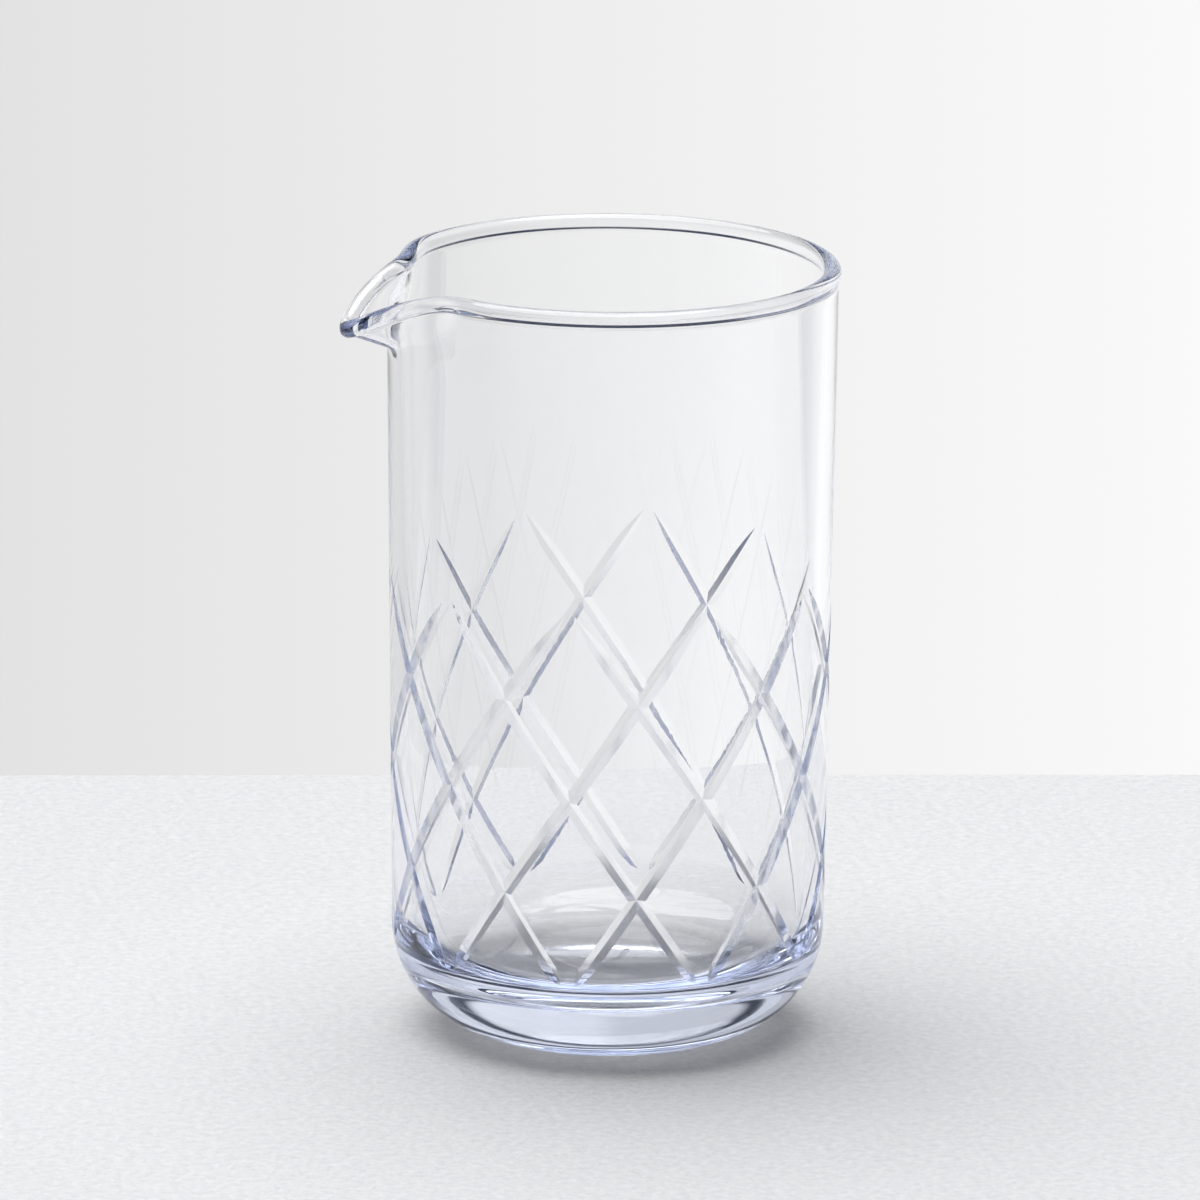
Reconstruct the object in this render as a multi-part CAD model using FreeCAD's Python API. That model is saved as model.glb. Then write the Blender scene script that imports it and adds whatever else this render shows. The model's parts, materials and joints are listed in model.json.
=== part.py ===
import FreeCAD, Part
import math
import os

# Mixing glass, one piece of clear glass. The body is a slightly tapered cylinder with a heavy
# base, a round heel and a shallow hollow underneath. The rim ends in a round bead. One side of
# it is pinched and pulled out into a pouring spout. Twenty V-shaped cuts, ten each way, cross
# on the lower half of the wall.
#
# Frame: origin at the middle of the foot, on the rest plane. +Z is up and the spout is at -X.

# ---- Driving dimensions, millimetres and degrees ----
HEIGHT = 152.5               # rest plane to the top of the rim bead
RADIUS_AT_FOOT = 41.9        # the wall's outer cone, carried down to the rest plane
RADIUS_AT_RIM = 43.7         # the same cone at the height of the rim
WALL_AT_RIM = 2.3            # glass thickness just below the bead
WALL_AT_FLOOR = 3.6          # glass thickness at the level of the inner floor
FLOOR_THICKNESS = 13.0       # rest plane to the inner floor
FLOOR_DISH = 0.6             # how much lower the middle of the inner floor is
CORNER_RADIUS = 12.0         # inner floor to inner wall
HEEL_RADIUS = 21.0           # outer wall to rest plane
FOOT_RING_WIDTH = 1.15       # flat ring that the glass stands on
PUNT_DEPTH = 1.0             # shallow hollow inside the ring

BEAD_RADIUS = 1.85           # round section of the rim
BEAD_INSET = 0.15            # the bead's centre is this much inside the middle of the wall
BEAD_SWELL = 1.1             # height over which the wall swells into the bead

SPOUT_REACH = 9.8            # how far the lip stands out of the rim circle
SPOUT_DROP = 8.8             # how far the lip hangs below the rim
SPOUT_DEPTH = 17.0           # the fold starts this far below the rim
SPOUT_HALF_ANGLE = 14.7      # half width of the lip, seen from the axis
SPOUT_SHARPNESS = 1.5        # 2 is a round lip, 1 is a pointed one
SPOUT_ROUNDING = 0.35        # share of the fold's height that bends away from the wall
FOLD_START_WIDTH = 0.35      # width of the fold where it starts, as a share of the lip's
NECK_PINCH = 1.8             # how far the rim is pressed in on each side of the lip
NECK_ANGLE = 26.0            # where the pinch is deepest, from the middle of the spout
NECK_HALF_ANGLE = 10.0

CUTS_PER_WAY = 10            # cuts that lean one way; as many lean the other way
CUT_FROM_SPOUT = 6.5         # angle from the spout to the nearest pair of cut tips
CUT_TOP = 94.0               # height at which two neighbouring cuts would meet
CUT_BOTTOM = 17.0            # height at which they meet again on the heel
CUT_SWEEP = 72.0             # angle that a cut turns about the axis on its way down
CUT_WIDTH = 2.8              # width of the groove on the surface
CUT_ANGLE = 122.0            # angle between the groove's two faces
CUT_TIP_LENGTH = 10.0        # height over which the wheel enters the glass at the top
CUT_END_LENGTH = 4.0         # height over which it leaves the glass on the heel
CUT_TIP_GAP = 1.6            # height from a meeting point to the tips, top and bottom
CUT_WOBBLE = 0.7             # uneven height of the tips, cut by eye

# ---- Worked out from the sizes above ----
SPOUT_AZIMUTH = 180.0
BEAD_CENTRE = HEIGHT - BEAD_RADIUS
SPOUT_START = HEIGHT - SPOUT_DEPTH
RIM_PART_START = SPOUT_START - SPOUT_DEPTH
CUT_DEPTH = CUT_WIDTH / 2 / math.tan(math.radians(CUT_ANGLE / 2))

# ---- How finely the free-form rim is sampled ----
AROUND = 180                 # evenly spaced sections round the rim
WALL_ROWS = 16               # rows from the plain wall up to the bead, each side
CAP_ROWS = 8                 # steps over the top of the bead

UP = FreeCAD.Vector(0, 0, 1)
CENTRE = FreeCAD.Vector(0, 0, 0)


def outer_radius(z):
    return RADIUS_AT_FOOT + (RADIUS_AT_RIM - RADIUS_AT_FOOT) * z / HEIGHT


def inner_radius(z):
    share = (z - FLOOR_THICKNESS) / (HEIGHT - FLOOR_THICKNESS)
    return outer_radius(z) - WALL_AT_FLOOR - (WALL_AT_RIM - WALL_AT_FLOOR) * share


def radial(azimuth):
    turn = math.radians(azimuth)
    return FreeCAD.Vector(math.cos(turn), math.sin(turn), 0)


# ---- Rim, bead and spout ----

def fold(z):
    """0 on the plain wall and 1 at the bead: how far the fold of the spout has opened."""
    share = max(0.0, (z - SPOUT_START) / (BEAD_CENTRE - SPOUT_START))
    if share < SPOUT_ROUNDING:
        rise = share ** 2 / (2 * SPOUT_ROUNDING)
    else:
        rise = share - SPOUT_ROUNDING / 2
    return rise / (1 - SPOUT_ROUNDING / 2)


def spout_shift(off_spout, z):
    """Outward and downward shift of the wall at an angle from the middle of the spout."""
    opened = fold(z)
    width = SPOUT_HALF_ANGLE * (FOLD_START_WIDTH + (1 - FOLD_START_WIDTH) * min(1.0, opened))
    lip = math.exp(-(abs(off_spout) / width) ** SPOUT_SHARPNESS)
    neck = math.exp(-((abs(off_spout) - NECK_ANGLE) / NECK_HALF_ANGLE) ** 2)
    return (SPOUT_REACH * lip - NECK_PINCH * neck) * opened, SPOUT_DROP * lip * opened


def mid_wall(off_spout, z, radius):
    outward, down = spout_shift(off_spout, z)
    return radial(SPOUT_AZIMUTH + off_spout) * (radius + outward) + UP * (z - down)


def wall_frame(off_spout, z):
    """Unit vectors through the wall and up along it, at one place of the folded wall."""
    step = 0.05
    radius = outer_radius(z)
    along = mid_wall(off_spout + step, z, radius) - mid_wall(off_spout - step, z, radius)
    upward = mid_wall(off_spout, z + step, radius) - mid_wall(off_spout, z - step, radius)
    if abs(off_spout) > 3 * NECK_ANGLE or z <= SPOUT_START:
        return radial(SPOUT_AZIMUTH + off_spout), UP
    through = along.cross(upward).normalize()
    return through, through.cross(along).normalize()


def rim_section(off_spout):
    """Points up the outside of the wall, over the bead and down the inside."""
    outside = []
    inside = []
    for row in range(WALL_ROWS + 1):
        below = (BEAD_CENTRE - RIM_PART_START) * (1 - row / WALL_ROWS) ** 1.7
        z = BEAD_CENTRE - below
        bead = math.exp(-(below / BEAD_SWELL) ** 2)
        middle = (outer_radius(z) + inner_radius(z)) / 2 - BEAD_INSET * bead
        half_wall = (outer_radius(z) - inner_radius(z)) / 2
        half_wall += (BEAD_RADIUS - half_wall) * bead
        through, upward = wall_frame(off_spout, z)
        core = mid_wall(off_spout, z, middle)
        outside.append(core + through * half_wall)
        inside.append(core - through * half_wall)
    cap = []
    for step in range(1, CAP_ROWS):
        turn = math.pi * step / CAP_ROWS
        cap.append(core + through * (BEAD_RADIUS * math.cos(turn)) + upward * (BEAD_RADIUS * math.sin(turn)))
    return outside + cap + inside[::-1]


def rim_surface():
    """One closed spline surface through all the sections of the rim."""
    sections = [rim_section(360 * index / AROUND - 180) for index in range(AROUND)]
    around = [index / AROUND for index in range(AROUND + 1)]
    reference = sections[0]
    lengths = [0.0]
    for start, end in zip(reference, reference[1:]):
        lengths.append(lengths[-1] + (end - start).Length)
    upward = [length / lengths[-1] for length in lengths]

    rings = []
    for points in zip(*sections):
        ring = Part.BSplineCurve()
        ring.interpolate(Points=list(points), PeriodicFlag=True, Parameters=around)
        rings.append(ring)
    poles = []
    for ring_poles in zip(*[ring.getPoles() for ring in rings]):
        rib = Part.BSplineCurve()
        rib.interpolate(Points=list(ring_poles), Parameters=upward)
        poles.append(rib.getPoles())
    surface = Part.BSplineSurface()
    surface.buildFromPolesMultsKnots(poles, rings[0].getMultiplicities(), rib.getMultiplicities(),
                                     rings[0].getKnots(), rib.getKnots(), True, False, 3, 3)
    return surface.toShape()


# ---- Plain body below the rim ----

def arc(start, end, centre, radius):
    """Arc from start to end, bulging away from its centre."""
    away = ((start + end) * 0.5 - centre).normalize()
    return Part.Arc(start, centre + away * radius, end).toShape()


def outside_profile(top):
    """Wall, heel, foot ring and the hollow under the base, from the top down to the axis."""
    slope = math.atan2(RADIUS_AT_RIM - RADIUS_AT_FOOT, HEIGHT)
    heel_z = HEEL_RADIUS
    heel_r = outer_radius(heel_z) - HEEL_RADIUS / math.cos(slope)
    heel_centre = FreeCAD.Vector(heel_r, 0, heel_z)
    heel_top = heel_centre + FreeCAD.Vector(math.cos(slope), 0, -math.sin(slope)) * HEEL_RADIUS
    foot = FreeCAD.Vector(heel_r, 0, 0)
    punt_radius = heel_r - FOOT_RING_WIDTH
    punt_edge = FreeCAD.Vector(punt_radius, 0, 0)
    punt_top = FreeCAD.Vector(0, 0, PUNT_DEPTH)
    punt_curve = (punt_radius ** 2 + PUNT_DEPTH ** 2) / (2 * PUNT_DEPTH)
    return [
        Part.makeLine(top, heel_top),
        arc(heel_top, foot, heel_centre, HEEL_RADIUS),
        Part.makeLine(foot, punt_edge),
        arc(punt_edge, punt_top, punt_top - UP * punt_curve, punt_curve),
    ]


def inside_profile(top):
    """Inner wall, round corner and dished floor, from the top down to the axis."""
    slope = math.atan2(inner_radius(HEIGHT) - inner_radius(0), HEIGHT)
    corner_z = FLOOR_THICKNESS + CORNER_RADIUS
    corner_r = inner_radius(corner_z) - CORNER_RADIUS / math.cos(slope)
    corner_centre = FreeCAD.Vector(corner_r, 0, corner_z)
    corner_top = corner_centre + FreeCAD.Vector(math.cos(slope), 0, -math.sin(slope)) * CORNER_RADIUS
    floor_edge = FreeCAD.Vector(corner_r, 0, FLOOR_THICKNESS)
    floor_middle = FreeCAD.Vector(0, 0, FLOOR_THICKNESS - FLOOR_DISH)
    floor_curve = (corner_r ** 2 + FLOOR_DISH ** 2) / (2 * FLOOR_DISH)
    return [
        Part.makeLine(top, corner_top),
        arc(corner_top, floor_edge, corner_centre, CORNER_RADIUS),
        arc(floor_edge, floor_middle, floor_middle + UP * floor_curve, floor_curve),
    ]


def vessel():
    """The uncut glass: the free-form rim sewn to the turned body."""
    join_out = FreeCAD.Vector(outer_radius(RIM_PART_START), 0, RIM_PART_START)
    join_in = FreeCAD.Vector(inner_radius(RIM_PART_START), 0, RIM_PART_START)
    faces = [rim_surface()]
    for edge in outside_profile(join_out) + inside_profile(join_in):
        faces.extend(edge.revolve(CENTRE, UP, 360).Faces)
    skin = Part.makeCompound(faces)
    skin.sewShape(0.001)
    return outward_solid(skin.Shells[0])


def outward_solid(shell):
    solid = Part.Solid(shell)
    if solid.Volume < 0:
        solid.reverse()
    return solid


# ---- Cuts ----

def cut_tool(azimuth, lean, wobble):
    """V-shaped bar along one cut; lean is +1 or -1, the way the cut turns on its way down."""
    height = CUT_TOP - CUT_BOTTOM
    top_tip = CUT_TOP - CUT_TIP_GAP - wobble
    bottom_tip = CUT_BOTTOM + CUT_TIP_GAP
    first = top_tip + CUT_TIP_LENGTH / 6
    last = bottom_tip - CUT_END_LENGTH / 6
    bar_height = CUT_DEPTH + CUT_WIDTH / 2
    bar_half_width = bar_height * math.tan(math.radians(CUT_ANGLE / 2))
    bottom, left, right = [], [], []
    stations = 32
    for station in range(stations + 1):
        z = first + (last - first) * station / stations
        turned = radial(azimuth + lean * CUT_SWEEP * (CUT_TOP - z) / height)
        entered = min(1.0, (top_tip - z) / CUT_TIP_LENGTH)
        leaving = min(1.0, (z - bottom_tip) / CUT_END_LENGTH)
        depth = CUT_DEPTH * (1 - (1 - entered) ** 2 - (1 - leaving) ** 2)
        radius = outer_radius(z)
        across = UP.cross(turned)
        along = across * (lean * math.radians(CUT_SWEEP) * radius) - UP * height
        side = along.cross(turned).normalize()
        edge = turned * (radius - depth) + UP * z
        bottom.append(edge)
        left.append(edge + turned * bar_height + side * bar_half_width)
        right.append(edge + turned * bar_height - side * bar_half_width)
    rails = []
    for points in (bottom, left, right):
        rail = Part.BSplineCurve()
        rail.interpolate(Points=points)
        rails.append(rail.toShape())
    faces = [Part.makeRuledSurface(rails[a], rails[b]) for a, b in ((0, 1), (1, 2), (2, 0))]
    for end in (0, -1):
        corners = [bottom[end], left[end], right[end], bottom[end]]
        faces.append(Part.Face(Part.makePolygon(corners)))
    skin = Part.makeCompound(faces)
    skin.sewShape(0.001)
    return outward_solid(skin.Shells[0])


def cut_tools():
    tools = []
    for index in range(CUTS_PER_WAY):
        azimuth = SPOUT_AZIMUTH - CUT_FROM_SPOUT + 360 * index / CUTS_PER_WAY
        for lean in (1, -1):
            wobble = CUT_WOBBLE * math.sin(2.4 * index + lean)
            tools.append(cut_tool(azimuth, lean, wobble))
    return tools


os.makedirs("parts", exist_ok=True)
glass = vessel().cut(cut_tools())
glass = glass.Solids[0]
glass.exportStep("parts/glass_vessel.step")
print("glass_vessel", round(glass.Volume / 1000, 1), "cm3, box", glass.BoundBox)
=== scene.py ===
# %% [markdown]
# # A cut mixing glass
# The real object is one piece of clear glass: a tall straight body with a heavy base, a rim
# that was melted round, a spout pulled out of the hot rim, and twenty V-shaped cuts made
# afterwards on a grinding wheel. The CAD model gives its box and its body. The looks are built
# here: a mesh fine enough for light to bend through it cleanly, the glass, and the studio
# round it, because clear glass shows little more than what it bends into view.

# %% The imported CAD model
import json
import math

import bmesh
import bpy
from mathutils import Matrix, Vector

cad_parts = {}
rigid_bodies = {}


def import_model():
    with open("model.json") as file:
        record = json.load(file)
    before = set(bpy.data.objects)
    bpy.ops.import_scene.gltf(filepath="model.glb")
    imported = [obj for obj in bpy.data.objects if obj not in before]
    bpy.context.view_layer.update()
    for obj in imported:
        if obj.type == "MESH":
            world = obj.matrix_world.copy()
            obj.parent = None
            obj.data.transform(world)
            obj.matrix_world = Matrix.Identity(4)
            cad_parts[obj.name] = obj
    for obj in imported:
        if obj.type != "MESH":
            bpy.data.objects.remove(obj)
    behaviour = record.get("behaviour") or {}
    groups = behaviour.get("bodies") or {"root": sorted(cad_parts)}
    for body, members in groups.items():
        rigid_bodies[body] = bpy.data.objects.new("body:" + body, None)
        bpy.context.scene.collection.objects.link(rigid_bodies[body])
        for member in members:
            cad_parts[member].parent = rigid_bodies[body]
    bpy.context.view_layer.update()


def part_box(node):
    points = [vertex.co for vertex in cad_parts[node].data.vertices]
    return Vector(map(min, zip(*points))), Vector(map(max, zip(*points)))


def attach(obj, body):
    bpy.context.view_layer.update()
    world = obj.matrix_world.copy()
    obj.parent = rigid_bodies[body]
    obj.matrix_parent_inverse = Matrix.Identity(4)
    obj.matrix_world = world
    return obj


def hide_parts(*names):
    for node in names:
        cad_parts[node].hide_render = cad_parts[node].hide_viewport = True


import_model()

MM = 0.001
node_low, node_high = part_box("glass_vessel")
print("glass, mm:", [round((high - low) / MM, 1) for low, high in zip(node_low, node_high)])

# %% [markdown]
# ## Sizes
# Everything is in metres, so a size that is easier to read in millimetres is multiplied by MM.
# The height comes from the CAD box. The section is the maker's drawing of the glass: an outer
# wall that leans out a little, an inner wall that leans out more, so that the glass gets
# thicker towards the base, and round transitions everywhere, as hot glass leaves them.

# %% The section of the glass
HEIGHT = node_high[2]
RADIUS_AT_FOOT = 41.9 * MM
RADIUS_AT_RIM = 43.7 * MM
WALL_AT_RIM = 2.3 * MM
WALL_AT_FLOOR = 3.6 * MM
FLOOR_THICKNESS = 13.0 * MM
FLOOR_DISH = 0.6 * MM
CORNER_RADIUS = 12.0 * MM
HEEL_RADIUS = 21.0 * MM
FOOT_RING_WIDTH = 1.15 * MM
PUNT_DEPTH = 1.0 * MM
BEAD_RADIUS = 1.85 * MM
BEAD_INSET = 0.16 * MM
BEAD_SWELL = 0.95 * MM
BEAD_CENTRE = HEIGHT - BEAD_RADIUS
SPOUT_DEPTH = 17.0 * MM
SPOUT_START = HEIGHT - SPOUT_DEPTH


def outer_radius(z):
    """The outer wall is a cone."""
    return RADIUS_AT_FOOT + (RADIUS_AT_RIM - RADIUS_AT_FOOT) * z / HEIGHT


def inner_radius(z):
    """The inner wall is a steeper cone, so the wall gets thinner on the way up."""
    share = (z - FLOOR_THICKNESS) / (HEIGHT - FLOOR_THICKNESS)
    return outer_radius(z) - WALL_AT_FLOOR - (WALL_AT_RIM - WALL_AT_FLOOR) * share


wall_at_bead = outer_radius(BEAD_CENTRE) - inner_radius(BEAD_CENTRE)
print("wall below the rim, mm:", round(wall_at_bead / MM, 2))

# %% [markdown]
# ## Drawing with a pen made of two operators
# A turned body starts as one line, its section, drawn from the axis out, up and back to the
# axis. Extruding a vertex draws a straight stretch, and spinning a vertex about a point draws
# an arc. That keeps every round a true arc, where a typed list of points would only be near it.

# %% The pen
def draw_line(bm, vert, end, steps):
    """Extrudes vert in equal steps to end, a point of the XZ plane; returns the end vertex."""
    start = vert.co.copy()
    for step in range(1, steps + 1):
        vert = bmesh.ops.extrude_vert_indiv(bm, verts=[vert])["verts"][0]
        vert.co = start.lerp((end[0], 0, end[1]), step / steps)
    return vert


def draw_arc(bm, vert, centre, angle, steps):
    """Spins vert about centre in the XZ plane, against the clock for a positive angle."""
    made = bmesh.ops.spin(
        bm, geom=[vert], cent=(centre[0], 0, centre[1]), axis=(0, -1, 0), dvec=(0, 0, 0),
        angle=angle, steps=steps, use_merge=False, use_normal_flip=False, use_duplicate=False)
    return next(item for item in made["geom_last"] if isinstance(item, bmesh.types.BMVert))

# %% [markdown]
# ## The turned body
# The base has a shallow hollow, so that the glass stands on a narrow ring and doesn't rock.
# The heel is a big arc, and the rim is a half circle that is then swollen into a bead. Each
# straight stretch is listed with the height where it ends and its number of rows. Rows are
# close together only where the shape bends or where the spout will be pulled out.

# %% Section line
AROUND = 360
WALL_SLOPE = math.atan2(RADIUS_AT_RIM - RADIUS_AT_FOOT, HEIGHT)
INNER_SLOPE = math.atan2(inner_radius(HEIGHT) - inner_radius(0), HEIGHT)
ABOVE_CUTS = 98 * MM
BELOW_SPOUT = SPOUT_START - 4 * MM
BELOW_BEAD = BEAD_CENTRE - 5 * MM
ABOVE_FLOOR = FLOOR_THICKNESS + 14 * MM
OUTER_ROWS = ((ABOVE_CUTS, 18), (BELOW_SPOUT, 6), (BELOW_BEAD, 18), (BEAD_CENTRE, 12))
INNER_ROWS = ((BELOW_BEAD, 12), (BELOW_SPOUT, 18), (ABOVE_CUTS, 6), (ABOVE_FLOOR, 12))


def sphere_through(half_width, rise):
    """Radius of the sphere whose cap is that wide and that high, and the cap's half angle."""
    radius = (half_width ** 2 + rise ** 2) / (2 * rise)
    return radius, math.asin(half_width / radius)


def section(bm):
    """Draws the line from the middle of the foot round the wall to the middle of the floor."""
    heel = (outer_radius(HEEL_RADIUS) - HEEL_RADIUS / math.cos(WALL_SLOPE), HEEL_RADIUS)
    corner_z = FLOOR_THICKNESS + CORNER_RADIUS
    corner = (inner_radius(corner_z) - CORNER_RADIUS / math.cos(INNER_SLOPE), corner_z)
    punt_curve, punt_angle = sphere_through(heel[0] - FOOT_RING_WIDTH, PUNT_DEPTH)
    floor_curve, floor_angle = sphere_through(corner[0], FLOOR_DISH)
    corner_start = (corner[0] + CORNER_RADIUS * math.cos(INNER_SLOPE),
                    corner_z - CORNER_RADIUS * math.sin(INNER_SLOPE))

    pen = bm.verts.new((0, 0, PUNT_DEPTH))
    pen = draw_arc(bm, pen, (0, PUNT_DEPTH - punt_curve), -punt_angle, 10)
    pen = draw_line(bm, pen, (heel[0], 0), 1)
    pen = draw_arc(bm, pen, heel, math.pi / 2 - WALL_SLOPE, 22)
    for height, rows in OUTER_ROWS:
        pen = draw_line(bm, pen, (outer_radius(height), height), rows)
    middle = (outer_radius(BEAD_CENTRE) + inner_radius(BEAD_CENTRE)) / 2
    pen = draw_arc(bm, pen, (middle, BEAD_CENTRE), math.pi, 14)
    for height, rows in INNER_ROWS:
        pen = draw_line(bm, pen, (inner_radius(height), height), rows)
    pen = draw_line(bm, pen, corner_start, 1)
    pen = draw_arc(bm, pen, corner, -(math.pi / 2 - INNER_SLOPE), 10)
    pen = draw_arc(bm, pen, (0, FLOOR_THICKNESS - FLOOR_DISH + floor_curve), -floor_angle, 12)
    pen.co.x = 0


body = bmesh.new()
section(body)
print("section points:", len(body.verts))

# %% [markdown]
# Spin turns the section about the axis. The two ends of the section lie on the axis, where
# every copy of them falls on one spot, so they are merged. Which way a spun face looks depends
# on the direction of the line, so the normals are recalculated once the body is closed.

# %% Spin
bmesh.ops.spin(
    body, geom=body.verts[:] + body.edges[:], cent=(0, 0, 0), axis=(0, 0, 1), dvec=(0, 0, 0),
    angle=2 * math.pi, steps=AROUND, use_merge=True, use_normal_flip=False, use_duplicate=False)
MERGE_DISTANCE = 0.001 * MM
bmesh.ops.remove_doubles(body, verts=body.verts, dist=MERGE_DISTANCE)
bmesh.ops.recalc_face_normals(body, faces=body.faces)
open_edges = sum(edge.is_boundary for edge in body.edges)
print("turned body:", len(body.faces), "faces, open edges:", open_edges)

# %% [markdown]
# ## Bead and spout
# The rim was held in a flame until it drew itself into a bead. Then, while it was soft, two
# rods pinched it in and a third pulled the lip out and down between them. In the mesh the same
# thing is done to the turned body: each vertex keeps its place within the wall, and the wall's
# middle is what gets pinched and pulled. So the wall keeps its thickness in the fold.
# Angles are in degrees from the middle of the spout. SLOPE_STEP is how far apart two points
# are taken to find the wall's direction: in degrees round the rim, and in millimetres up.

# %% How the soft rim moves
SPOUT_REACH = 9.8 * MM
SPOUT_DROP = 8.8 * MM
SPOUT_HALF_ANGLE = 14.7
SPOUT_SHARPNESS = 1.5
SPOUT_ROUNDING = 0.35
FOLD_START_WIDTH = 0.35
NECK_PINCH = 1.8 * MM
NECK_ANGLE = 26.0
NECK_HALF_ANGLE = 10.0
SOFT_BELOW_SPOUT = 6 * MM
SPOUT_DIRECTION = 180
SLOPE_STEP = 0.05


def fold(z):
    """0 on the plain wall and 1 at the bead."""
    share = max(0.0, (z - SPOUT_START) / (BEAD_CENTRE - SPOUT_START))
    if share < SPOUT_ROUNDING:
        rise = share ** 2 / (2 * SPOUT_ROUNDING)
    else:
        rise = share - SPOUT_ROUNDING / 2
    return rise / (1 - SPOUT_ROUNDING / 2)


def mid_wall(off_spout, z, radius):
    """Where the middle of the wall goes, at an angle from the middle of the spout."""
    opened = fold(z)
    width = SPOUT_HALF_ANGLE * (FOLD_START_WIDTH + (1 - FOLD_START_WIDTH) * min(1.0, opened))
    lip = math.exp(-(abs(off_spout) / width) ** SPOUT_SHARPNESS)
    neck = math.exp(-((abs(off_spout) - NECK_ANGLE) / NECK_HALF_ANGLE) ** 2)
    radius += (SPOUT_REACH * lip - NECK_PINCH * neck) * opened
    turn = math.radians(SPOUT_DIRECTION + off_spout)
    drop = SPOUT_DROP * lip * opened
    return Vector((radius * math.cos(turn), radius * math.sin(turn), z - drop))


def soften_rim(vert):
    """Swells the wall into the bead, then moves it with the fold and keeps it square to it."""
    radius = math.hypot(vert.co.x, vert.co.y)
    off_spout = (math.degrees(math.atan2(vert.co.y, vert.co.x)) % 360) - SPOUT_DIRECTION
    z = min(vert.co.z, BEAD_CENTRE)
    above = vert.co.z - z
    swell = math.exp(-((BEAD_CENTRE - z) / BEAD_SWELL) ** 2)
    half_wall = (outer_radius(z) - inner_radius(z)) / 2
    grow = 1 + (BEAD_RADIUS / half_wall - 1) * swell
    from_middle = (radius - (outer_radius(z) + inner_radius(z)) / 2) * grow
    middle = (outer_radius(z) + inner_radius(z)) / 2 - BEAD_INSET * swell
    size = outer_radius(z)
    along = (mid_wall(off_spout + SLOPE_STEP, z, size)
             - mid_wall(off_spout - SLOPE_STEP, z, size))
    upward = (mid_wall(off_spout, z + SLOPE_STEP * MM, size)
              - mid_wall(off_spout, z - SLOPE_STEP * MM, size))
    if abs(off_spout) > 3 * NECK_ANGLE or z <= SPOUT_START:
        turn = math.radians(SPOUT_DIRECTION + off_spout)
        through = Vector((math.cos(turn), math.sin(turn), 0))
        upward = Vector((0, 0, 1))
    else:
        through = along.cross(upward).normalized()
        upward = through.cross(along).normalized()
    vert.co = mid_wall(off_spout, z, middle) + through * from_middle + upward * above * grow


moved = [vert for vert in body.verts if vert.co.z > SPOUT_START - SOFT_BELOW_SPOUT]
for vert in moved:
    soften_rim(vert)
lip_x = min(vert.co.x for vert in body.verts)
print("rim vertices moved:", len(moved), "lip at x, mm:", round(lip_x / MM, 1))

# %% [markdown]
# ## The cuts
# Each cut is ground by a wheel with a V-shaped edge that runs down a slanting line round the
# body. It sinks in gently at the top, which leaves a long pointed tip, and leaves quickly where
# the heel turns away. A wheel is easy to stand in for: a bar with a triangular section that
# follows the wheel's path, taken away from the body. Ten bars lean one way and ten the other.
# The bars of one set don't touch each other, so each set is one clean subtraction. A hand
# holds the glass to the wheel, so the tips wobble in height by a fraction of a millimetre.

# %% Bars in the shape of the cuts
CUTS_PER_WAY = 10
CUT_FROM_SPOUT = 6.5
CUT_TOP = 94.0 * MM
CUT_BOTTOM = 17.0 * MM
CUT_SWEEP = 72.0
CUT_WIDTH = 2.8 * MM
CUT_ANGLE = 122.0
CUT_DEPTH = CUT_WIDTH / 2 / math.tan(math.radians(CUT_ANGLE / 2))
CUT_TIP_LENGTH = 10.0 * MM
CUT_END_LENGTH = 4.0 * MM
CUT_TIP_GAP = 1.6 * MM
CUT_WOBBLE = 0.7 * MM
WOBBLE_STEP = 2.4
OVERRUN = 6
STATIONS = 40


def wheel_path(azimuth, lean, wobble, z):
    """Bottom of the cut at height z, with the directions outward and across the cut."""
    turn = math.radians(azimuth + lean * CUT_SWEEP * (CUT_TOP - z) / (CUT_TOP - CUT_BOTTOM))
    outward = Vector((math.cos(turn), math.sin(turn), 0))
    entered = min(1.0, (CUT_TOP - CUT_TIP_GAP - wobble - z) / CUT_TIP_LENGTH)
    leaving = min(1.0, (z - CUT_BOTTOM - CUT_TIP_GAP) / CUT_END_LENGTH)
    depth = CUT_DEPTH * (1 - (1 - entered) ** 2 - (1 - leaving) ** 2)
    sideways = lean * math.radians(CUT_SWEEP) * outer_radius(z)
    forward = Vector((0, 0, 1)).cross(outward) * sideways
    forward.z = CUT_BOTTOM - CUT_TOP
    across = forward.cross(outward).normalized()
    return outward * (outer_radius(z) - depth) + Vector((0, 0, z)), outward, across


def next_ring(bm, ring):
    """Extrudes the three vertices and the edges between them; returns the new vertices."""
    edges = [edge for edge in ring[0].link_edges if edge.other_vert(ring[0]) in ring]
    edges += [edge for edge in ring[1].link_edges if edge.other_vert(ring[1]) == ring[2]]
    made = bmesh.ops.extrude_edge_only(bm, edges=edges)["geom"]
    fresh = [item for item in made if isinstance(item, bmesh.types.BMVert)]
    return [next(vert for vert in fresh if any(edge.other_vert(vert) == old
                                               for edge in vert.link_edges)) for old in ring]


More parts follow.
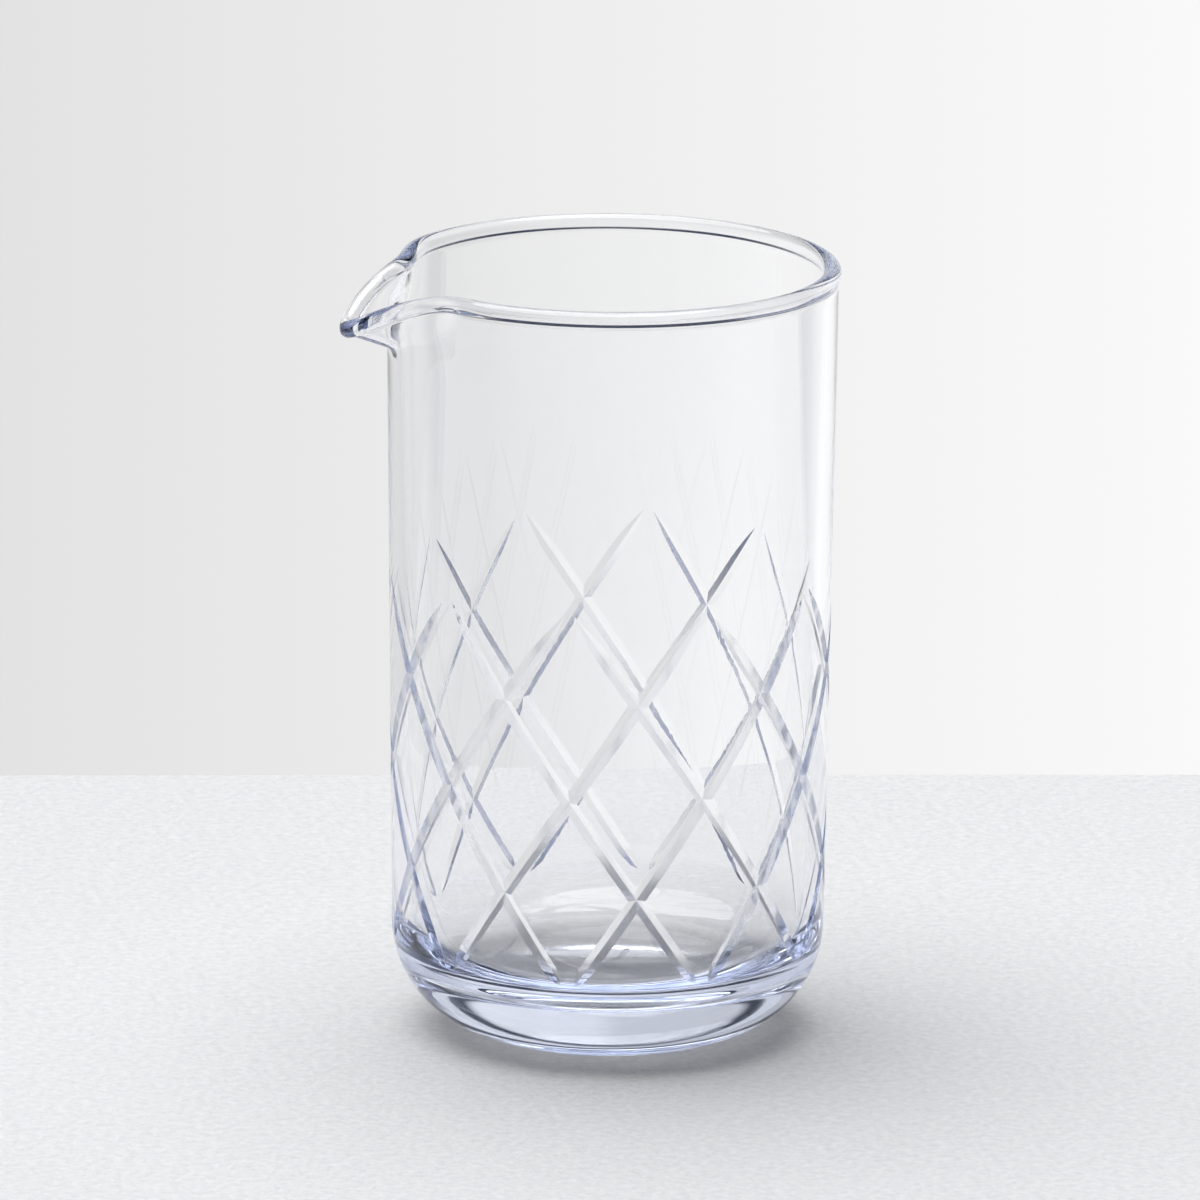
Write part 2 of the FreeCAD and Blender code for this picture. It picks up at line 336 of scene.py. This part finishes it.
def add_bar(bm, azimuth, lean, wobble):
    """Adds one open-ended triangular bar that follows the wheel from the tip to the end."""
    bar_height = CUT_DEPTH + CUT_WIDTH / 2
    half_width = bar_height * math.tan(math.radians(CUT_ANGLE / 2))
    # The bar starts and ends a little way outside the glass.
    first = CUT_TOP - CUT_TIP_GAP - wobble + CUT_TIP_LENGTH / OVERRUN
    last = CUT_BOTTOM + CUT_TIP_GAP - CUT_END_LENGTH / OVERRUN
    ring = bmesh.ops.create_circle(bm, cap_ends=False, segments=3, radius=1)["verts"]
    for station in range(STATIONS + 1):
        z = first + (last - first) * station / STATIONS
        bottom, outward, across = wheel_path(azimuth, lean, wobble, z)
        if station:
            ring = next_ring(bm, ring)
        ring[0].co = bottom
        ring[1].co = bottom + outward * bar_height + across * half_width
        ring[2].co = bottom + outward * bar_height - across * half_width


def cut_bars(lean):
    """All the bars that lean one way, with closed ends."""
    bm = bmesh.new()
    for index in range(CUTS_PER_WAY):
        azimuth = SPOUT_DIRECTION - CUT_FROM_SPOUT + 360 * index / CUTS_PER_WAY
        add_bar(bm, azimuth, lean, CUT_WOBBLE * math.sin(WOBBLE_STEP * index + lean))
    bmesh.ops.holes_fill(bm, edges=bm.edges, sides=3)
    bmesh.ops.recalc_face_normals(bm, faces=bm.faces)
    return bm


def new_object(name, bm):
    """Puts a bmesh into the scene as an object."""
    mesh = bpy.data.meshes.new(name)
    bm.to_mesh(mesh)
    bm.free()
    piece = bpy.data.objects.new(name, mesh)
    bpy.context.scene.collection.objects.link(piece)
    return piece

# %% [markdown]
# The subtraction is a Boolean modifier, as exact as Blender has it. Its result is taken as the
# new mesh, so the bars can go, and nothing hidden is left in the scene.

# %% Cutting
glass = new_object("glass_vessel_cut", body)
ways = (("cuts_left", 1), ("cuts_right", -1))
bars = [new_object(name, cut_bars(lean)) for name, lean in ways]
for bar in bars:
    cut = glass.modifiers.new(bar.name, "BOOLEAN")
    cut.operation = "DIFFERENCE"
    cut.solver = "EXACT"
    cut.object = bar
seen = glass.evaluated_get(bpy.context.evaluated_depsgraph_get())
cut_mesh = bpy.data.meshes.new_from_object(seen)
glass.modifiers.clear()
glass.data = cut_mesh
for bar in bars:
    bpy.data.objects.remove(bar)
print("cut glass:", len(glass.data.polygons), "faces")

# %% [markdown]
# ## Where the glass is smooth and where it has an edge
# Smooth shading makes a curved surface from flat faces, but it would also round off the cuts.
# So an edge stays sharp where its two faces meet at more than a set angle. A face attribute
# also notes which faces the wheel made, because the glass is finished differently there. They
# are the faces on the outer side that tilt more than the wall or the heel does at that height.

# %% Sharp edges and the cut faces
SHARP_ANGLE = math.radians(16)
GROUND_TILT = math.radians(20)
INNER_SKIN = 0.8 * MM
cut_form = bmesh.new()
cut_form.from_mesh(glass.data)
ground = cut_form.faces.layers.float.new("ground")
for face in cut_form.faces:
    face.smooth = True
    middle = face.calc_center_median()
    flat_out = Vector((middle.x, middle.y, 0)).normalized()
    outside = middle.xy.length > inner_radius(middle.z) + INNER_SKIN
    on_wall = HEEL_RADIUS / 2 < middle.z < CUT_TOP and outside
    tilt = face.normal.angle(flat_out)
    heel_lean = math.asin(max(0.0, min(1.0, 1 - middle.z / HEEL_RADIUS)))
    face[ground] = float(on_wall and tilt > heel_lean + GROUND_TILT)
for edge in cut_form.edges:
    edge.smooth = edge.calc_face_angle(0) < SHARP_ANGLE
print("ground faces:", sum(face[ground] > 0.5 for face in cut_form.faces))
cut_form.to_mesh(glass.data)
cut_form.free()
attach(glass, "root")
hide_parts("glass_vessel")

# %% [markdown]
# ## Working with shader nodes
# One small function adds a node, sets its values and makes its links, and two short forms of
# it stand for arithmetic and noise. Colours are written as the hex values that a colour picker
# shows, which are sRGB, and one function turns them into the linear values that the renderer
# works in.

# %% Helpers
def linear(hex_colour):
    """sRGB hex to linear red, green, blue and alpha."""
    channels = [int(hex_colour[i:i + 2], 16) / 255 for i in (1, 3, 5)]
    return (*[c / 12.92 if c <= 0.04045 else ((c + 0.055) / 1.055) ** 2.4 for c in channels], 1)


def add(tree, kind, settings=None, **inputs):
    """Adds a node. settings are its own options, and a keyword is an input.

    An input goes by its name with _ for each space, or by its place, such as i0. A socket
    that is given as the value is linked, and anything else is set.
    """
    node = tree.nodes.new(kind)
    for name, value in (settings or {}).items():
        setattr(node, name, value)
    for name, value in inputs.items():
        place = int(name[1:]) if name[0] == "i" and name[1:].isdigit() else name.replace("_", " ")
        if isinstance(value, bpy.types.NodeSocket):
            tree.links.new(value, node.inputs[place])
        else:
            node.inputs[place].default_value = value
    return node


def calculate(tree, operation, *values):
    """One step of arithmetic; returns the socket with the result."""
    inputs = {f"i{place}": value for place, value in enumerate(values)}
    return add(tree, "ShaderNodeMath", {"operation": operation}, **inputs).outputs[0]


def noise(tree, place, size, **inputs):
    """Noise whose features are about that many metres across; returns the socket."""
    return add(tree, "ShaderNodeTexNoise", Vector=place, Scale=1 / size, **inputs).outputs["Fac"]


def new_material(name):
    """An empty material and its node tree."""
    material = bpy.data.materials.new(name)
    material.use_nodes = True
    material.node_tree.nodes.clear()
    return material, material.node_tree


print("mid grey #808080 in linear light:", round(linear("#808080")[0], 3))

# %% [markdown]
# ## The glass
# Soda-lime glass, blown into a mould and fire polished. It bends light with an index of 1.52,
# and its skin has no roughness at all, only long shallow waves, because it froze before it was
# quite even. The faint lavender blue is in the glass, not on it, so it is a volume colour: it
# deepens where light has travelled a long way inside, at the edges and in the base. The wheel
# leaves a fine grit in the cuts, which polishing softens but doesn't remove. The ring that the
# glass stands on is scuffed, because it slides over tables.

# %% Fire-polished soda-lime glass with wheel-ground cuts
GROUND_ROUGHNESS = 0.20
SCUFF_ROUGHNESS = 0.5
WEAR_ENDS = 0.30 * MM
WEAR_FULL = 0.05 * MM
glass_material, tree = new_material("Fire-polished soda-lime glass")
place = add(tree, "ShaderNodeTexCoord").outputs["Object"]
ground_here = add(tree, "ShaderNodeAttribute", {"attribute_name": "ground"}).outputs["Fac"]
waves = noise(tree, place, 22 * MM, Detail=1.0, Roughness=0.4)
wavy = add(tree, "ShaderNodeBump", Height=waves, Strength=0.5, Distance=0.05 * MM)
grit = noise(tree, place, 0.5 * MM, Detail=3.0, Roughness=0.6)
grit_height = calculate(tree, "MULTIPLY", grit, ground_here)
skin = add(tree, "ShaderNodeBump", Height=grit_height, Strength=0.6, Distance=0.03 * MM,
           Normal=wavy.outputs["Normal"])
height = add(tree, "ShaderNodeSeparateXYZ", Vector=place).outputs["Z"]
foot = add(tree, "ShaderNodeMapRange", Value=height, From_Min=WEAR_ENDS, From_Max=WEAR_FULL)
scuffs = noise(tree, place, 1.4 * MM, Detail=4.0, Roughness=0.7)
scuffed = calculate(tree, "MULTIPLY", foot.outputs[0], scuffs)
worn = calculate(tree, "MULTIPLY", scuffed, SCUFF_ROUGHNESS)
rough = calculate(tree, "MULTIPLY_ADD", ground_here, GROUND_ROUGHNESS, worn)
shader = add(tree, "ShaderNodeBsdfPrincipled", Base_Color=linear("#FFFFFF"), IOR=1.52,
             Transmission_Weight=1.0, Roughness=rough, Normal=skin.outputs["Normal"])
tint = add(tree, "ShaderNodeVolumeAbsorption", Color=linear("#D2DCF4"), Density=10.0)
add(tree, "ShaderNodeOutputMaterial", Surface=shader.outputs[0], Volume=tint.outputs[0])
glass.data.materials.clear()
glass.data.materials.append(glass_material)
print("glass:", len(tree.nodes), "nodes, index", round(shader.inputs["IOR"].default_value, 2))

# %% [markdown]
# ## The table
# A pale board covered with pressed paper. It ends a little way behind the glass, and its back
# edge makes the line that shows through the clear wall. The paper's pale and dark flecks are
# painted light: they follow the same noise as its relief and are lighter where the fibres stand
# up, as if those caught more light, standing in for relief shading that the soft light hardly
# shows. The board is turned to face the camera, with a small tilt of its edge.

# %% Paper-covered board
CAMERA_AZIMUTH = -14.0
TABLE_BACK = 182 * MM
TABLE_SIZE = 2.4
TABLE_THICKNESS = 20 * MM
TABLE_TURN = 1.8
SWELL_SHARE = 2.0
board = bmesh.new()
bmesh.ops.create_cube(board, size=1)
bmesh.ops.scale(board, vec=(TABLE_SIZE, TABLE_SIZE, TABLE_THICKNESS), verts=board.verts)
board_centre = (0, TABLE_BACK - TABLE_SIZE / 2, -TABLE_THICKNESS / 2)
bmesh.ops.translate(board, vec=board_centre, verts=board.verts)
facing_camera = Matrix.Rotation(math.radians(CAMERA_AZIMUTH + TABLE_TURN), 3, "Z")
bmesh.ops.rotate(board, cent=(0, 0, 0), matrix=facing_camera, verts=board.verts)
table = new_object("table_board", board)
paper_material, tree = new_material("Pressed white paper")
place = add(tree, "ShaderNodeTexCoord").outputs["Object"]
fibres = noise(tree, place, 1.8 * MM, Detail=6.0, Roughness=0.66)
swells = noise(tree, place, 70 * MM, Detail=2.0)
height = calculate(tree, "MULTIPLY_ADD", swells, SWELL_SHARE, fibres)
relief = add(tree, "ShaderNodeBump", Height=height, Strength=1.0, Distance=0.7 * MM)
# Painted light: the paper is painted lighter where the fibre noise stands higher, as shading of its
# relief.
painted_fibre_light = add(tree, "ShaderNodeMapRange", Value=fibres, From_Min=0.35, From_Max=0.65)
paper_with_painted_fibre_light = add(tree, "ShaderNodeMix", {"data_type": "RGBA"}, i0=painted_fibre_light.outputs[0],
            i6=linear("#E4E5E6"), i7=linear("#F3F3F3"))
shader = add(tree, "ShaderNodeBsdfPrincipled", Base_Color=paper_with_painted_fibre_light.outputs[2], Roughness=0.85,
             Normal=relief.outputs["Normal"])
add(tree, "ShaderNodeOutputMaterial", Surface=shader.outputs[0])
table.data.materials.append(paper_material)
print("table reaches behind the glass, mm:", round((TABLE_BACK - outer_radius(0)) / MM))

# %% [markdown]
# ## Camera
# A long lens from well back, a little above the glass, with the spout to the left. From far
# away the two sides of the glass stay nearly parallel, and the rim is a calm ellipse. The lens
# follows from the width that should fill the frame at the glass.

# %% Camera
CAMERA_ELEVATION = 14.54
CAMERA_DISTANCE = 2.5
FRAME_WIDTH = 233 * MM
LOOK_AT_HEIGHT = 85.1 * MM
LOOK_AT_SIDE = -2.0 * MM
CAMERA_ROLL = 0.45
SENSOR_WIDTH = 36


def camera_axes(azimuth, elevation):
    """Unit vectors to the right in view and back towards the camera."""
    a, e = math.radians(azimuth), math.radians(elevation)
    right = Vector((math.cos(a), math.sin(a), 0))
    back = Vector((math.sin(a) * math.cos(e), -math.cos(a) * math.cos(e), math.sin(e)))
    return right, back


right, back = camera_axes(CAMERA_AZIMUTH, CAMERA_ELEVATION)
target = right * LOOK_AT_SIDE + Vector((0, 0, LOOK_AT_HEIGHT))
lens = bpy.data.cameras.new("camera")
lens.sensor_width = SENSOR_WIDTH
lens.lens = SENSOR_WIDTH * CAMERA_DISTANCE / FRAME_WIDTH
lens.clip_end = 20
camera = bpy.data.objects.new("camera", lens)
turn = Matrix((right, back.cross(right), back)).transposed().to_4x4()
roll = Matrix.Rotation(math.radians(CAMERA_ROLL), 4, "Z")
camera.matrix_world = Matrix.Translation(target + back * CAMERA_DISTANCE) @ turn @ roll
bpy.context.scene.collection.objects.link(camera)
bpy.context.scene.camera = camera
print("lens, mm:", round(lens.lens))

# %% [markdown]
# ## The studio
# Clear glass is drawn by what it bends. A white room alone would make it vanish, so the world
# has dark panels at both sides, out of view: the curved edges of the wall, the heel and the
# cuts bend towards them and get their blue-grey lines. A dark ceiling does the same for the
# underside of the rim bead. The background behind the glass is off-white and gets lighter to
# the right. Directions are turned with the camera, so the panels stay beside its view.

# %% Dark panels, ceiling and background
world = bpy.data.worlds.new("studio")
bpy.context.scene.world = world
world.use_nodes = True
tree = world.node_tree
tree.nodes.clear()
direction = add(tree, "ShaderNodeTexCoord").outputs["Generated"]
facing = add(tree, "ShaderNodeVectorRotate", {"rotation_type": "Z_AXIS"}, Vector=direction,
             Angle=math.radians(-CAMERA_AZIMUTH))
parts = add(tree, "ShaderNodeSeparateXYZ", Vector=facing.outputs[0])
sideways = calculate(tree, "ARCTAN2", parts.outputs["X"], parts.outputs["Y"])
round_share = add(tree, "ShaderNodeMapRange", Value=sideways,
                  From_Min=-math.pi, From_Max=math.pi)
height_share = add(tree, "ShaderNodeMapRange", Value=parts.outputs["Z"],
                   From_Min=-1.0, From_Max=1.0)


def ramp(tree, share, stops):
    """Colour ramp: stops are (position, sRGB hex)."""
    node = add(tree, "ShaderNodeValToRGB", Fac=share)
    node.color_ramp.interpolation = "EASE"
    while len(node.color_ramp.elements) < len(stops):
        node.color_ramp.elements.new(1)
    for element, (position, colour) in zip(node.color_ramp.elements, stops):
        element.position = position
        element.color = linear(colour)
    return node.outputs[0]


# Round the glass: the camera is at 0 and 1, the left at 0.25, the background at 0.5.
DARK_PANEL = "#3C4A6C"
PALE_WALL = "#E4E8F0"
panels = ramp(tree, round_share.outputs[0], [
    (0.0, PALE_WALL), (0.10, PALE_WALL), (0.16, DARK_PANEL), (0.22, DARK_PANEL), (0.30, "#E4E4E6"),
    (0.5, "#F6F6F6"), (0.62, "#FFFFFF"), (0.68, DARK_PANEL), (0.82, DARK_PANEL),
    (0.90, PALE_WALL), (1.0, PALE_WALL)])
# From straight down at 0 to straight up at 1: the ceiling is dark from 20 degrees up.
ceiling = ramp(tree, height_share.outputs[0], [
    (0.0, "#FFFFFF"), (0.642, "#FFFFFF"), (0.672, "#303950"), (0.787, "#283145"), (1.0, "#464F64")])
EDGE_OF_VIEW = 0.047
BACKDROP_LEFT, BACKDROP_RIGHT = 0.83, 1.03
backdrop = add(tree, "ShaderNodeMapRange", Value=parts.outputs["X"],
               From_Min=-EDGE_OF_VIEW, From_Max=EDGE_OF_VIEW,
               To_Min=BACKDROP_LEFT, To_Max=BACKDROP_RIGHT)
light = add(tree, "ShaderNodeMix", {"data_type": "RGBA", "blend_type": "MULTIPLY"},
            i0=1.0, i6=panels, i7=ceiling)
surround = add(tree, "ShaderNodeBackground", Color=light.outputs[2], Strength=backdrop.outputs[0])
print("dark panel in linear light:", [round(v, 3) for v in linear(DARK_PANEL)[:3]])

# %% [markdown]
# One large round softbox hangs overhead, a little behind the glass and to its left. It lights
# the table, lays a soft shadow to the front right, and gives the bead its bright lines.

# %% Softbox
SOFTBOX_TOWARDS = Vector((-0.16, 0.16, 1.0)).normalized()
SOFTBOX_RADIUS = math.radians(33)
SOFTBOX_EDGE = 0.012
SOFTBOX_STRENGTH = 3.6
lean = add(tree, "ShaderNodeVectorMath", {"operation": "DOT_PRODUCT"},
           i0=facing.outputs[0], i1=SOFTBOX_TOWARDS)
softbox_mask = add(tree, "ShaderNodeMapRange", {"interpolation_type": "SMOOTHSTEP"},
                   Value=lean.outputs["Value"], From_Min=math.cos(SOFTBOX_RADIUS) - SOFTBOX_EDGE,
                   From_Max=math.cos(SOFTBOX_RADIUS) + SOFTBOX_EDGE)
softbox = add(tree, "ShaderNodeBackground", Color=linear("#FFFFFF"), Strength=SOFTBOX_STRENGTH)
sky = add(tree, "ShaderNodeMixShader", i0=softbox_mask.outputs[0],
          i1=surround.outputs[0], i2=softbox.outputs[0])
add(tree, "ShaderNodeOutputWorld", Surface=sky.outputs[0])
print("softbox fills", round(50 * (1 - math.cos(SOFTBOX_RADIUS)), 1), "% of all directions")

# %% [markdown]
# ## How far light is followed
# Light can be reflected inside clear glass many times before it gets out. When the renderer
# stops following it too early, what is left is a black line that the real glass doesn't have.
# The Standard view transform leaves the whites white, where a filmic one would grey them.

# %% Bounces of light
BOUNCES = 40
bpy.context.scene.view_settings.view_transform = "Standard"
bpy.context.scene.cycles.max_bounces = BOUNCES
bpy.context.scene.cycles.transmission_bounces = BOUNCES
bpy.context.scene.cycles.glossy_bounces = BOUNCES
print("bounces:", BOUNCES)
